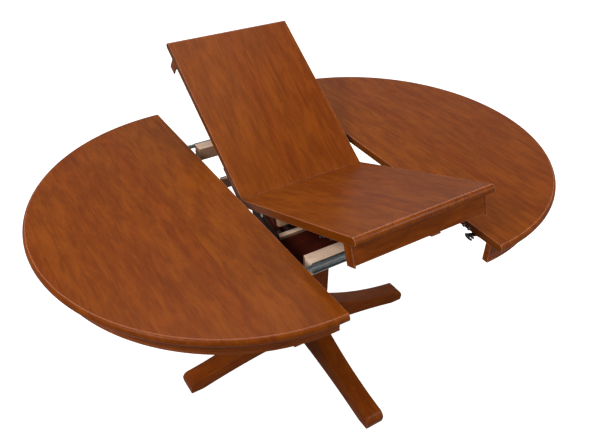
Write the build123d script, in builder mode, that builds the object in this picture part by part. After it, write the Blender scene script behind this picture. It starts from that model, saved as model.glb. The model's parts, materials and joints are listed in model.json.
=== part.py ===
from build123d import *
import os
from math import cos, radians, sin

# Round extending pedestal table. Millimetres, +Z up, origin on the floor under the post.
# The half-tops slide along X. The leaf folds about axes parallel to X.

# Driving dimensions
top_radius = 600
top_height = 760
top_thick = 24
half_gap = 255                      # each straight edge from the middle, tops pulled apart
under_top = top_height - top_thick

rim_width = 8.5                     # thumbnail rim: step in from the edge
rim_drop = 1.6
nose_height = 10

apron_outer = 562
apron_thick = 19
apron_depth = 60
bead_height = 6
bead_proud = 2

leaf_width = 449
leaf_half = 600
leaf_split = 0.2                    # clearance of each panel from the hinge line
pivot_y = -96                       # pivot pins of the front half of the leaf
pivot_z = 724
front_tilt = 22.0                   # how far the two halves stand up from flat
rear_tilt = 33.7

post_half = 68
post_bottom = 45
post_top = 578
foot_width = 68
foot_reach = 472
glide_height = 3

plate_thick = 22
bearer_x = 87.5                     # middle of each bearer
bearer_width = 45
bearer_z = post_top + plate_thick
bearer_middle_top = 628             # low in the middle, under the folding hinge line
bearer_end_z = 660                  # underside of the raised ends
bearer_end_y = 353
deck_thick = 14

outer_rail_y = 347.5                # middle of each outer runner
outer_rail_width = 39
outer_rail_z = 690
outer_rail_height = 45
outer_rail_half = 215
inner_rail_y = 179.5
inner_rail_width = 17
inner_rail_z = 662
inner_rail_height = 37
inner_rail_half = 206
bracket_thick = 5

slide_half = 212                    # half length of every slide member
slide_face_y = outer_rail_y + outer_rail_width / 2
slide_levels = {"left": 726, "right": 710}

side_rail_y = slide_face_y + 11.5   # inner face of the rails under each half-top
side_rail_thick = 20
side_rail_height = 44
side_rail_length = 310

pin_radius = 4
pin_proud = 13
pin_z = top_height - top_thick / 2
pin_y = (462, 482)
pivot_radius = 4
fit = 0.05                          # radial clearance of a shaft in its hole
easy_fit = 0.3                      # radial clearance of an alignment pin

lock_y = {"left": 470, "right": 498}
lock_inset = 20                     # hook pivot behind its own edge
stud_inset = 12                     # keeper stud behind the facing edge
stud_radius = 3
closed_gap = 1
hook_reach = lock_inset + stud_inset + closed_gap
hook_z = 725
hook_thick = 6
hook_tuck = 80                      # the hooks of the leaf rest swung in under the panel

screw_radius = 2.5
head_radius = 5
head_height = 2.5

os.makedirs("parts", exist_ok=True)


def save(piece, name):
    """Labels a finished piece and writes its STEP file."""
    piece.label = name
    export_step(piece, f"parts/{name}.step")


def bar(x_range, y_range, z_range, mode=Mode.ADD):
    """A box between two corners, for use inside a part."""
    sizes = [high - low for low, high in (x_range, y_range, z_range)]
    middle = [(low + high) / 2 for low, high in (x_range, y_range, z_range)]
    with Locations(tuple(middle)):
        Box(*sizes, mode=mode)


def upright(points, bottom, top, radius, mode=Mode.ADD):
    """Vertical cylinders standing on the given (x, y) points."""
    with Locations(*[(x, y, bottom) for x, y in points]):
        Cylinder(radius, top - bottom, align=(Align.CENTER, Align.CENTER, Align.MIN), mode=mode)


def lying(y, z, x_from, x_to, radius, mode=Mode.ADD):
    """A cylinder lying along X."""
    with Locations(Location(((x_from + x_to) / 2, y, z), (0, 90, 0))):
        Cylinder(radius, abs(x_to - x_from), mode=mode)


def turned(piece, pivot, angle):
    """The piece turned about a line along X through (y, z)."""
    return piece.rotate(Axis((0, pivot[0], pivot[1]), (1, 0, 0)), angle)


def turned_point(point, pivot, angle):
    """A (y, z) point turned about another."""
    y = point[0] - pivot[0]
    z = point[1] - pivot[1]
    c = cos(radians(angle))
    s = sin(radians(angle))
    return pivot[0] + y * c - z * s, pivot[1] + y * s + z * c


# Rest places of the leaf: the front half has turned about its pins, and the hinge line with it.
pivot = (pivot_y, pivot_z)
flat_hinge = (0, top_height)
rest_hinge = turned_point(flat_hinge, pivot, -front_tilt)


def front_half_placed(piece):
    return turned(piece, pivot, -front_tilt)


def rear_half_placed(piece):
    tilted = turned(piece, flat_hinge, rear_tilt)
    return Pos(0, rest_hinge[0] - flat_hinge[0], rest_hinge[1] - flat_hinge[1]) * tilted


# ---------------------------------------------------------------- pedestal

foot_bolt_levels = (90, 130)
foot_bolt_radius = 4
foot_bolt_inner = 28
foot_bolt_outer = 128
directions = {"right": 0, "rear": 90, "left": 180, "front": 270}

top_plate_screws = [(x, y) for x in (-40, 40) for y in (-40, 40)]
bearer_plate_screws = [(x, y) for x in (-bearer_x, bearer_x) for y in (-90, 90)]
outer_rail_screws = [(x, y) for x in (-bearer_x, bearer_x) for y in (-334, 334)]
outer_rail_screw_seat = 664
inner_rail_screws = [(x, y) for x in (-bearer_x, bearer_x) for y in (-inner_rail_y, inner_rail_y)]
inner_rail_screw_seat = 632
deck_screws = [(x, y) for x in (-bearer_x, bearer_x) for y in (-305, -215)]


def foot_bolt_shapes(radius, mode):
    """Two bolts for each foot, drawn in every direction round the post."""
    middle = (foot_bolt_inner + foot_bolt_outer) / 2
    for angle in directions.values():
        for level in foot_bolt_levels:
            place = Location((0, 0, level), (0, 0, angle)) * Location((middle, 0, 0), (0, 90, 0))
            with Locations(place):
                Cylinder(radius, foot_bolt_outer - foot_bolt_inner, mode=mode)


with BuildPart() as post:
    bar((-post_half, post_half), (-post_half, post_half), (post_bottom, post_top))
    fillet(post.edges().filter_by(Axis.Z), 3)
    foot_bolt_shapes(foot_bolt_radius + fit, Mode.SUBTRACT)
    upright(top_plate_screws, 530, post_top, screw_radius + fit, Mode.SUBTRACT)
save(post.part, "pedestal_post")

for name, angle in directions.items():
    with BuildPart() as foot:
        with BuildSketch(Plane.XZ.offset(-foot_width / 2)):
            with BuildLine():
                inner_top = (post_half, 184)
                toe_top = (448, 52)
                toe_front = (foot_reach, 26)
                sole_front = (foot_reach - 3, glide_height)
                sole_back = (424, glide_height)
                inner_bottom = (post_half, 57)
                ThreePointArc(inner_top, (240, 104), toe_top)
                ThreePointArc(toe_top, (464, 44), toe_front)
                Line(toe_front, sole_front)
                Line(sole_front, sole_back)
                ThreePointArc(sole_back, (250, 37), inner_bottom)
                Line(inner_bottom, inner_top)
            make_face()
        extrude(amount=foot_width)
        fillet(foot.faces().filter_by(Plane.XZ).edges().group_by(Axis.Z)[-1], 4)
        middle = (foot_bolt_inner + foot_bolt_outer) / 2
        for level in foot_bolt_levels:
            lying(0, level, foot_bolt_inner, foot_bolt_outer, foot_bolt_radius + fit, Mode.SUBTRACT)
    save(foot.part.rotate(Axis.Z, angle), f"foot_{name}")

with BuildPart() as bolts:
    foot_bolt_shapes(foot_bolt_radius, Mode.ADD)
save(bolts.part, "foot_bolts")

with BuildPart() as glides:
    with PolarLocations(446, 4):
        Cylinder(14, glide_height, align=(Align.CENTER, Align.CENTER, Align.MIN))
save(glides.part, "floor_glides")

# ---------------------------------------------------------------- bearing frame

with BuildPart() as top_plate:
    bar((-120, 120), (-120, 120), (post_top, bearer_z))
    chamfer(top_plate.faces().sort_by(Axis.Z)[0].edges(), 6)
    upright(top_plate_screws + bearer_plate_screws, post_top, bearer_z, screw_radius + fit, Mode.SUBTRACT)
save(top_plate.part, "post_top_plate")

outer_rail_in = outer_rail_y - outer_rail_width / 2
inner_rail_out = inner_rail_y + inner_rail_width / 2
deck_bottom = outer_rail_z - deck_thick
deck_gap = 0.5

# Cranked cross bearers: the runners and the deck rest on the steps of their raised ends.
with BuildPart() as bearers:
    for x in (-bearer_x, bearer_x):
        with BuildSketch(Plane.YZ.offset(x - bearer_width / 2)):
            with BuildLine() as crank:
                Polyline(
                    (0, bearer_z),
                    (150, bearer_z),
                    (322, bearer_end_z),
                    (337, bearer_end_z),
                    (bearer_end_y, outer_rail_z - 10),
                    (bearer_end_y, outer_rail_z),
                    (outer_rail_in, outer_rail_z),
                    (outer_rail_in, deck_bottom),
                    (inner_rail_out, deck_bottom),
                    (inner_rail_out, inner_rail_z),
                    (167, inner_rail_z),
                    (138, bearer_middle_top),
                    (0, bearer_middle_top),
                )
                mirror(crank.line, about=Plane.YZ)
            make_face()
        extrude(amount=bearer_width)
    upright(bearer_plate_screws, bearer_z, bearer_z + 20, screw_radius + fit, Mode.SUBTRACT)
    upright(outer_rail_screws, bearer_end_z, outer_rail_screw_seat, head_radius + easy_fit, Mode.SUBTRACT)
    upright(outer_rail_screws, outer_rail_screw_seat, outer_rail_z, screw_radius + fit, Mode.SUBTRACT)
    upright(inner_rail_screws, bearer_z, inner_rail_screw_seat, head_radius + easy_fit, Mode.SUBTRACT)
    upright(inner_rail_screws, inner_rail_screw_seat, inner_rail_z, screw_radius + fit, Mode.SUBTRACT)
    upright(deck_screws, deck_bottom - 16, deck_bottom, screw_radius + fit, Mode.SUBTRACT)
save(bearers.part, "bearers")

with BuildPart() as deck:
    bar((-222, 222), (deck_gap - outer_rail_in, -inner_rail_out - deck_gap), (deck_bottom, outer_rail_z))
    chamfer(deck.edges().group_by(Axis.Z)[-1], 1)
    upright(deck_screws, deck_bottom, outer_rail_z, screw_radius + fit, Mode.SUBTRACT)
    upright(deck_screws, outer_rail_z - head_height, outer_rail_z, head_radius + fit, Mode.SUBTRACT)
save(deck.part, "front_deck")

for name, side in (("front", -1), ("rear", 1)):
    y = side * outer_rail_y
    with BuildPart() as outer_rail:
        bar(
            (-outer_rail_half, outer_rail_half),
            (y - outer_rail_width / 2, y + outer_rail_width / 2),
            (outer_rail_z, outer_rail_z + outer_rail_height),
        )
        chamfer(outer_rail.edges().filter_by(Axis.X), 1.5)
        upright(outer_rail_screws, outer_rail_z, 720, screw_radius + fit, Mode.SUBTRACT)
    save(outer_rail.part, f"rail_{name}_outer")

    y = side * inner_rail_y
    half = inner_rail_half if side < 0 else inner_rail_half + bracket_thick
    with BuildPart() as inner_rail:
        bar(
            (-half, half),
            (y - inner_rail_width / 2, y + inner_rail_width / 2),
            (inner_rail_z, inner_rail_z + inner_rail_height),
        )
        chamfer(inner_rail.edges().filter_by(Axis.X).group_by(Axis.Z)[-1], 1)
        upright(inner_rail_screws, inner_rail_z, 690, screw_radius + fit, Mode.SUBTRACT)
    save(inner_rail.part, f"rail_{name}_inner")

with BuildPart() as frame_screws:
    upright(top_plate_screws, 530, bearer_z, screw_radius)
    upright(top_plate_screws, bearer_z, bearer_z + head_height, head_radius)
    upright(bearer_plate_screws, post_top, bearer_z + 20, screw_radius)
    upright(bearer_plate_screws, post_top - head_height, post_top, head_radius)
    upright(outer_rail_screws, outer_rail_screw_seat, 720, screw_radius)
    upright(outer_rail_screws, outer_rail_screw_seat - head_height, outer_rail_screw_seat, head_radius)
    upright(inner_rail_screws, inner_rail_screw_seat, 690, screw_radius)
    upright(inner_rail_screws, inner_rail_screw_seat - head_height, inner_rail_screw_seat, head_radius)
    upright(deck_screws, deck_bottom - 16, outer_rail_z - head_height, screw_radius)
    upright(deck_screws, outer_rail_z - head_height, outer_rail_z, head_radius)
save(frame_screws.part, "frame_screws")

# Steel plates on the ends of the front inner runner carry the pivot pins of the leaf.
with BuildPart() as brackets:
    for side in (-1, 1):
        start = inner_rail_half if side > 0 else -inner_rail_half - bracket_thick
        with BuildSketch(Plane.YZ.offset(start)):
            with BuildLine():
                Polyline(
                    (-188, 664),
                    (-188, 698),
                    (-165, 712),
                    (-106, 733),
                    (-90, 716),
                    (-136, 672),
                    (-150, 664),
                    close=True,
                )
            make_face()
            with Locations(pivot):
                Circle(11)
                Circle(pivot_radius + fit, mode=Mode.SUBTRACT)
        extrude(amount=bracket_thick)
save(brackets.part, "pivot_brackets")

pin_inner = 187
with BuildPart() as pivot_pins:
    for side in (-1, 1):
        outer = side * (inner_rail_half + bracket_thick)
        lying(pivot_y, pivot_z, side * pin_inner, outer, pivot_radius)
        lying(pivot_y, pivot_z, outer, outer + side * 3, 7)
save(pivot_pins.part, "pivot_pins")

# ---------------------------------------------------------------- slides

# Each member is a channel: (how far it starts from the runner, how far it ends,
# half height, wall, which side is open).
slide_sections = {
    "outer": (0, 10.0, 7.6, 1.2, "away"),
    "middle": (2.2, 10.4, 5.8, 1.2, "away"),
    "inner": (4.4, 11.5, 4.0, 1.2, "towards"),
}


def slide_member(section, x_middle, side, level):
    """One channel of a slide on the front (-1) or rear (1) outer runner."""
    start, end, half_height, wall, opening = slide_sections[section]
    hollow_start = start + wall if opening == "away" else start
    hollow_end = end if opening == "away" else end - wall
    with BuildSketch(Plane.YZ.offset(x_middle - slide_half)) as channel:
        with Locations((side * (slide_face_y + (start + end) / 2), level)):
            Rectangle(end - start, 2 * half_height)
        with Locations((side * (slide_face_y + (hollow_start + hollow_end) / 2), level)):
            Rectangle(hollow_end - hollow_start, 2 * (half_height - wall), mode=Mode.SUBTRACT)
    extrude(channel.sketch, amount=2 * slide_half)


with BuildPart() as slide_outers:
    for side in (-1, 1):
        for level in slide_levels.values():
            slide_member("outer", 0, side, level)
save(slide_outers.part, "slide_outers")

for name, sign in (("left", -1), ("right", 1)):
    with BuildPart() as middles:
        for side in (-1, 1):
            slide_member("middle", sign * half_gap / 2, side, slide_levels[name])
    save(middles.part, f"{name}_slide_middles")

    with BuildPart() as inners:
        for side in (-1, 1):
            slide_member("inner", sign * half_gap, side, slide_levels[name])
    save(inners.part, f"{name}_slide_inners")

# ---------------------------------------------------------------- half-tops


def rim_outline(edge, back):
    """Section of a panel from its back line to the rounded rim at the edge, edge > back."""
    nose = under_top + nose_height
    step = edge - rim_width
    Line((back, top_height), (back, under_top))
    Line((back, under_top), (edge - 12, under_top))
    ThreePointArc((edge - 12, under_top), (edge - 4, under_top + 3), (edge, nose))
    ThreePointArc((edge, nose), (edge - 2, nose + 7.6), (step, top_height - rim_drop))
    Line((step, top_height - rim_drop), (step, top_height))
    Line((step, top_height), (back, top_height))


def keeper(x, y):
    """Keeper plate with its stud, under an edge."""
    bar((x - 11, x + 11), (y - 13, y + 13), (under_top - 3, under_top))
    upright([(x, y)], hook_z - 3, under_top - 3, stud_radius)


def lock_plate(x, y):
    """Plate with the headed rivet that a hook turns on."""
    bar((x - 16, x + 16), (y - 14, y + 14), (under_top - 4, under_top))
    upright([(x, y)], hook_z - 3, under_top - 4, 3)
    upright([(x, y)], hook_z - 3, hook_z - 0.5, 6)


def hook(x, y, sign, swing):
    """Flat hook that reaches along X past the edge; its slot takes the keeper stud.

    The slot follows a circle round the rivet, so the hook swings on and off the stud.
    """
    slot_half = stud_radius + 1
    with BuildSketch(Plane.XY.offset(hook_z)) as outline:
        with Locations((x, y)):
            Circle(9)
        with BuildLine():
            inner = hook_reach - slot_half - 3
            outer = hook_reach + slot_half + 4
            corners = []
            for radius, angle in ((inner, -14), (inner, 34), (outer, 34), (outer, -14)):
                corners.append(
                    (
                        x + sign * radius * cos(radians(angle)),
                        y + swing * radius * sin(radians(angle)),
                    )
                )
            middle = [
                (x + sign * radius * cos(radians(10)), y + swing * radius * sin(radians(10)))
                for radius in (inner, outer)
            ]
            ThreePointArc(corners[0], middle[0], corners[1])
            Line(corners[1], corners[2])
            ThreePointArc(corners[2], middle[1], corners[3])
            Line(corners[3], corners[0])
        make_face()
        with BuildLine():
            Polyline(
                (x, y - swing * 5),
                (x + sign * inner * cos(radians(12)), y + swing * inner * sin(radians(12))),
                (x + sign * outer * cos(radians(30)), y + swing * outer * sin(radians(30))),
                (x, y + swing * 9),
                close=True,
            )
        make_face()
        with BuildLine():
            slot = []
            for radius, angle in (
                (hook_reach - slot_half, -16),
                (hook_reach - slot_half, 10),
                (hook_reach + slot_half, 10),
                (hook_reach + slot_half, -16),
            ):
                slot.append(
                    (
                        x + sign * radius * cos(radians(angle)),
                        y + swing * radius * sin(radians(angle)),
                    )
                )
            middle = [
                (x + sign * radius * cos(radians(-3)), y + swing * radius * sin(radians(-3)))
                for radius in (hook_reach - slot_half, hook_reach + slot_half)
            ]
            ThreePointArc(slot[0], middle[0], slot[1])
            Line(slot[1], slot[2])
            ThreePointArc(slot[2], middle[1], slot[3])
            Line(slot[3], slot[0])
        make_face(mode=Mode.SUBTRACT)
        with Locations((x, y)):
            Circle(3 + fit, mode=Mode.SUBTRACT)
    extrude(outline.sketch, amount=hook_thick)


pin_places = [side * y for side in (-1, 1) for y in pin_y]
batten_places = ((235, 295, side_rail_y), (420, 470, 240))
batten_thick = 18


def half_top(name, sign):
    """Everything that slides with one half-top; sign is the side of the table along X."""
    edge_x = sign * half_gap
    centre = Axis((edge_x, 0, 0), (0, 0, -sign))

    rail_y = side_rail_y + side_rail_thick / 2
    rail_screws = [(edge_x + sign * d, y) for d in (30, 150, 270) for y in (-rail_y, rail_y)]
    batten_screws = [(edge_x + sign * d, y) for d, y in ((265, -200), (265, 200), (445, -150), (445, 150))]
    screw_top = top_height - 8

    with BuildPart() as slab:
        with BuildSketch(Plane.YZ.offset(edge_x)):
            with BuildLine():
                rim_outline(top_radius, 0)
            make_face()
        revolve(axis=centre, revolution_arc=180)
        clearance = easy_fit if name == "left" else fit
        for y in pin_places:
            lying(y, pin_z, edge_x, edge_x + sign * 20, pin_radius + clearance, Mode.SUBTRACT)
        upright(rail_screws + batten_screws, under_top, screw_top, screw_radius + fit, Mode.SUBTRACT)
    save(slab.part, f"{name}_top")

    for place, start in (("rear", 90), ("side", 150), ("front", 210)):
        angle = start if name == "left" else {"rear": 30, "side": -30, "front": -90}[place]
        out = (cos(radians(angle)), sin(radians(angle)), 0)
        across = (sin(radians(angle)), -cos(radians(angle)), 0)
        bottom = under_top - apron_depth
        with BuildPart() as apron:
            with BuildSketch(Plane(origin=(edge_x, 0, 0), x_dir=out, z_dir=across)):
                with BuildLine():
                    Polyline(
                        (apron_outer - apron_thick, under_top),
                        (apron_outer - apron_thick, bottom),
                        (apron_outer, bottom),
                    )
                    ThreePointArc(
                        (apron_outer, bottom),
                        (apron_outer + bead_proud, bottom + bead_height / 2),
                        (apron_outer, bottom + bead_height),
                    )
                    Polyline(
                        (apron_outer, bottom + bead_height),
                        (apron_outer, under_top),
                        (apron_outer - apron_thick, under_top),
                    )
                make_face()
            revolve(axis=Axis((edge_x, 0, 0), (0, 0, 1)), revolution_arc=60)
        save(apron.part, f"{name}_apron_{place}")

    with BuildPart() as side_rails:
        x_range = sorted((edge_x + sign * 1, edge_x + sign * side_rail_length))
        for side in (-1, 1):
            y_range = sorted((side * side_rail_y, side * (side_rail_y + side_rail_thick)))
            bar(x_range, y_range, (under_top - side_rail_height, under_top))
        chamfer(side_rails.edges().filter_by(Axis.X).group_by(Axis.Z)[0], 3)
        upright(rail_screws, under_top - side_rail_height, under_top, screw_radius + fit, Mode.SUBTRACT)
    save(side_rails.part, f"{name}_side_rails")

    with BuildPart() as battens:
        for near, far, half_length in batten_places:
            x_range = sorted((edge_x + sign * near, edge_x + sign * far))
            bar(x_range, (-half_length, half_length), (under_top - batten_thick, under_top))
        upright(batten_screws, under_top - batten_thick, under_top, screw_radius + fit, Mode.SUBTRACT)
    save(battens.part, f"{name}_battens")

    with BuildPart() as screws:
        for points, depth in ((rail_screws, side_rail_height), (batten_screws, batten_thick)):
            upright(points, under_top - depth, screw_top, screw_radius)
            upright(points, under_top - depth - head_height, under_top - depth, head_radius)
    save(screws.part, f"{name}_top_screws")


half_top("left", -1)
half_top("right", 1)

with BuildPart() as pins:
    for y in pin_places:
        lying(y, pin_z, half_gap - pin_proud, half_gap + 20, pin_radius)
    chamfer(pins.faces().filter_by(Axis.X).edges(), 0.8)
save(pins.part, "alignment_pins")

with BuildPart() as left_keepers:
    for side in (-1, 1):
        keeper(-half_gap - stud_inset, side * lock_y["left"])
save(left_keepers.part, "left_keepers")

with BuildPart() as right_lock_plates:
    for side in (-1, 1):
        lock_plate(half_gap + lock_inset, side * lock_y["right"])
save(right_lock_plates.part, "right_lock_plates")

for name, side in (("front", -1), ("rear", 1)):
    with BuildPart() as right_hook:
        hook(half_gap + lock_inset, side * lock_y["right"], -1, -side)
    save(right_hook.part, f"right_hook_{name}")

# ---------------------------------------------------------------- leaf

half_width = leaf_width / 2
hinge_cup_radius = 7
hinge_cup_depth = 14
hinge_cup_z = top_height - 11
hinge_cup_x = (-150, 0, 150)
leaf_apron_outer = 562
leaf_apron_depth = 61
end_cap_width = 5
end_cap_length = 33
end_cap_recess = {-1: 10, 1: 0}     # how far each end of the apron stops short of the panel
end_cap_depth = 66
end_cap_proud = 1.5
leaf_batten_start = 165
leaf_batten_thick = 18
leaf_batten_depth = 36
leaf_batten_half = 204
block_inner = 185
block_outer = 205
block_start = 10
block_end = 150
block_depth = 56


def hinge_cups(side, radius, mode):
    """Cups of the concealed hinges, let into the meeting edge of one half."""
    for x in hinge_cup_x:
        middle = side * (leaf_split + hinge_cup_depth / 2)
        with Locations(Location((x, middle, hinge_cup_z), (90, 0, 0))):
            Cylinder(radius, hinge_cup_depth, mode=mode)


def leaf_half_parts(name, side, placed):
    """One half of the leaf, drawn flat in the table top and then placed at rest."""
    def y_span(near, far):
        return sorted((side * near, side * far))

    section_plane = Plane(origin=(-side * half_width, 0, 0), x_dir=(0, side, 0), z_dir=(side, 0, 0))
    with BuildPart() as panel:
        with BuildSketch(section_plane):
            with BuildLine():
                rim_outline(leaf_half, leaf_split)
            make_face()
        extrude(amount=leaf_width)
        hinge_cups(side, hinge_cup_radius + fit, Mode.SUBTRACT)
        for y in pin_y:
            lying(side * y, pin_z, half_width - 20, half_width, pin_radius + easy_fit, Mode.SUBTRACT)
    save(placed(panel.part), f"leaf_{name}_panel")

    with BuildPart() as apron:
        inner = {end: end * (half_width - end_cap_recess[end] - end_cap_width) for end in (-1, 1)}
        span = y_span(leaf_apron_outer - apron_thick, leaf_apron_outer)
        bar((inner[-1], inner[1]), span, (under_top - leaf_apron_depth, under_top))
    save(placed(apron.part), f"leaf_{name}_apron")

    with BuildPart() as end_caps:
        cap_outer = leaf_apron_outer + end_cap_proud
        span = y_span(cap_outer - end_cap_length, cap_outer)
        for end, x in inner.items():
            bar(sorted((x, x + end * end_cap_width)), span, (under_top - end_cap_depth, under_top))
        fillet(end_caps.edges().filter_by(Axis.X).group_by(Axis.Z)[0], 3)
    save(placed(end_caps.part), f"leaf_{name}_end_caps")

    with BuildPart() as batten:
        span = y_span(leaf_batten_start, leaf_batten_start + leaf_batten_thick)
        bar((-leaf_batten_half, leaf_batten_half), span, (under_top - leaf_batten_depth, under_top))
        chamfer(batten.edges().filter_by(Axis.X).group_by(Axis.Z)[0], 1.5)
    save(placed(batten.part), f"leaf_{name}_batten")

    with BuildPart() as blocks:
        for x_range in ((-block_outer, -block_inner), (block_inner, block_outer)):
            bar(x_range, y_span(block_start, block_end), (under_top - block_depth, under_top))
        chamfer(blocks.edges().filter_by(Axis.X).group_by(Axis.Z)[0], 8)
        if side < 0:
            lying(pivot_y, pivot_z, -block_outer, -pin_inner, pivot_radius + fit, Mode.SUBTRACT)
            lying(pivot_y, pivot_z, pin_inner, block_outer, pivot_radius + fit, Mode.SUBTRACT)
    save(placed(blocks.part), f"leaf_{name}_blocks")

    with BuildPart() as cups:
        hinge_cups(side, hinge_cup_radius, Mode.ADD)
    save(placed(cups.part), f"leaf_{name}_hinge_cups")

    with BuildPart() as lock_plates:
        lock_plate(lock_inset - half_width, side * lock_y["left"])
        keeper(half_width - stud_inset, side * lock_y["right"])
    save(placed(lock_plates.part), f"leaf_{name}_lock_plates")

    with BuildPart() as leaf_hook:
        hook(lock_inset - half_width, side * lock_y["left"], -1, -side)
    rivet = Axis((lock_inset - half_width, side * lock_y["left"], 0), (0, 0, side))
    tucked = leaf_hook.part.rotate(rivet, hook_tuck)
    save(placed(tucked), f"leaf_{name}_hook")


leaf_half_parts("front", -1, front_half_placed)
leaf_half_parts("rear", 1, rear_half_placed)

pull_x = 45
with BuildPart() as leaf_pull:
    pull_top = under_top - leaf_apron_depth
    bar((pull_x - 16, pull_x + 16), (-leaf_apron_outer, -leaf_apron_outer + 16), (pull_top - 5, pull_top))
    fillet(leaf_pull.edges().group_by(Axis.Z)[0], 2)
save(front_half_placed(leaf_pull.part), "leaf_pull")
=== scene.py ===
"""Looks of a round extending pedestal table whose folding leaf is caught half way up.

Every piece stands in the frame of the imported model, in metres. Wooden pieces are lofts that
carry a "timber" attribute: across the board, along its grain, and depth, so that the grain
follows each board however it lies.
"""
import json
import logging
import math
from dataclasses import dataclass, field
from enum import Enum

import bmesh
import bpy
import numpy as np
from mathutils import Matrix, Vector
from mathutils.geometry import tessellate_polygon


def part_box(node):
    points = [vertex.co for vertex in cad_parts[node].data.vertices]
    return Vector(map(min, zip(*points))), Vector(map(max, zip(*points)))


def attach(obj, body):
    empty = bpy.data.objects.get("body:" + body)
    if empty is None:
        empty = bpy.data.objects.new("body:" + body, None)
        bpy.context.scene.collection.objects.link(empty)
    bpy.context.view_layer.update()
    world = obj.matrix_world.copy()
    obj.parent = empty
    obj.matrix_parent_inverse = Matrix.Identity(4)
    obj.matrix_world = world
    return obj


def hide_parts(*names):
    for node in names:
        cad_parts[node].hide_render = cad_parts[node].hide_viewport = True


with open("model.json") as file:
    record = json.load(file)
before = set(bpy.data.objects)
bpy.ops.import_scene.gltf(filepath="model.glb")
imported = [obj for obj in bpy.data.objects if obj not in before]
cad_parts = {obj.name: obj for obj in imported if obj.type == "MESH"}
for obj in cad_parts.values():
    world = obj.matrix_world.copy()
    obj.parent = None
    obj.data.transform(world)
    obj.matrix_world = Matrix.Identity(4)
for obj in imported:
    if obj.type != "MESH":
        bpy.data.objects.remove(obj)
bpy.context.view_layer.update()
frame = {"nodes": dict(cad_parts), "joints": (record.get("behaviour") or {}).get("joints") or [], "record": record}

LOG = logging.getLogger("table")
MM = 0.001
SOCKET_RADIUS = 0.0043
SOCKET_DEPTH = 0.020
SOCKET_LEVEL = 0.748


# ---------------------------------------------------------------- surfaces


class Grain(Enum):
    """The axis a board's grain runs along."""

    X = 0
    Y = 1
    Z = 2


@dataclass
class Shape:
    """Lofts gathered into one mesh, each with its own timber coordinates."""

    points: list = field(default_factory=list)
    timber: list = field(default_factory=list)
    faces: list = field(default_factory=list)
    count: int = 0

    def loft(self, rings: np.ndarray, timber: np.ndarray, capped: bool = True) -> None:
        """Adds a skin over closed rings.

        Point (i, j) joins (i + 1, j) along the loft and (i, j + 1) round the ring, the last
        point of a ring joining its first. The end rings are filled.

        Args:
            rings: points, shaped (ring, place in ring, 3).
            timber: timber coordinates of the same points.
            capped: whether the two ends are closed.
        """
        n, m = rings.shape[:2]
        base = self.count + np.arange(n * m).reshape(n, m)
        here, there = base[:-1], base[1:]
        quads = np.stack([here, np.roll(here, -1, 1), np.roll(there, -1, 1), there], -1).reshape(-1, 4)
        self.faces += quads.tolist()
        if capped:
            self.faces += [base[0][::-1].tolist(), base[-1].tolist()]
        self.points.append(rings.reshape(-1, 3))
        self.timber.append(timber.reshape(-1, 3))
        self.count += n * m

    def cap(self, outline: np.ndarray, first: int, forward: bool) -> None:
        """Closes an end whose outline may be hollow with triangles.

        A triangle is turned round if its signed area in the outline's plane is negative.

        Args:
            outline: the end ring's points in its own plane, anticlockwise.
            first: index of the ring's first point in the mesh.
            forward: whether the end faces the way the anticlockwise ring does.
        """
        for corners in tessellate_polygon([[Vector((*point, 0)) for point in outline]]):
            a, b, c = outline[list(corners)]
            area = (b[0] - a[0]) * (c[1] - a[1]) - (b[1] - a[1]) * (c[0] - a[0])
            order = list(corners) if (area > 0) == forward else list(corners)[::-1]
            self.faces.append([first + place for place in order])

    def finish(self, name: str, placed: Matrix = Matrix.Identity(4), sharp: float = 32) -> bpy.types.Object:
        """Makes the object.

        Args:
            name: the piece's name.
            placed: where the drawn shape lies at rest.
            sharp: angle in degrees past which an edge stays crisp.

        Returns:
            The new object, at the origin.
        """
        turn = np.array(placed)
        points = np.concatenate(self.points) @ turn[:3, :3].T + turn[:3, 3]
        mesh = bpy.data.meshes.new(name)
        mesh.from_pydata(points.tolist(), [], self.faces)
        attribute = mesh.attributes.new("timber", "FLOAT_VECTOR", "POINT")
        attribute.data.foreach_set("vector", np.concatenate(self.timber).astype(np.float32).ravel())
        mesh.polygons.foreach_set("use_smooth", np.ones(len(mesh.polygons), bool))
        mesh.validate()
        mesh.set_sharp_from_angle(angle=math.radians(sharp))
        piece = bpy.data.objects.new(name, mesh)
        bpy.context.scene.collection.objects.link(piece)
        return piece


def rounded_section(width: float, height: float, radius: float, steps: int = 4) -> np.ndarray:
    """Rounded rectangle about the origin, anticlockwise.

    Each corner is a quarter circle: centre plus radius times (cos, sin) of the angle.

    Args:
        width: along the first axis, in metres.
        height: along the second.
        radius: of the corners.
        steps: chords in each corner.

    Returns:
        Points shaped (4 * (steps + 1), 2).
    """
    radius = min(radius, 0.49 * width, 0.49 * height)
    corner = np.repeat(np.arange(4), steps + 1)
    angle = np.radians(corner * 90 + np.tile(np.linspace(0, 90, steps + 1), 4))
    sign = np.array([(1, 1), (-1, 1), (-1, -1), (1, -1)])[corner]
    centre = sign * (np.array([width, height]) / 2 - radius)
    return centre + radius * np.stack([np.cos(angle), np.sin(angle)], -1)


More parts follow.
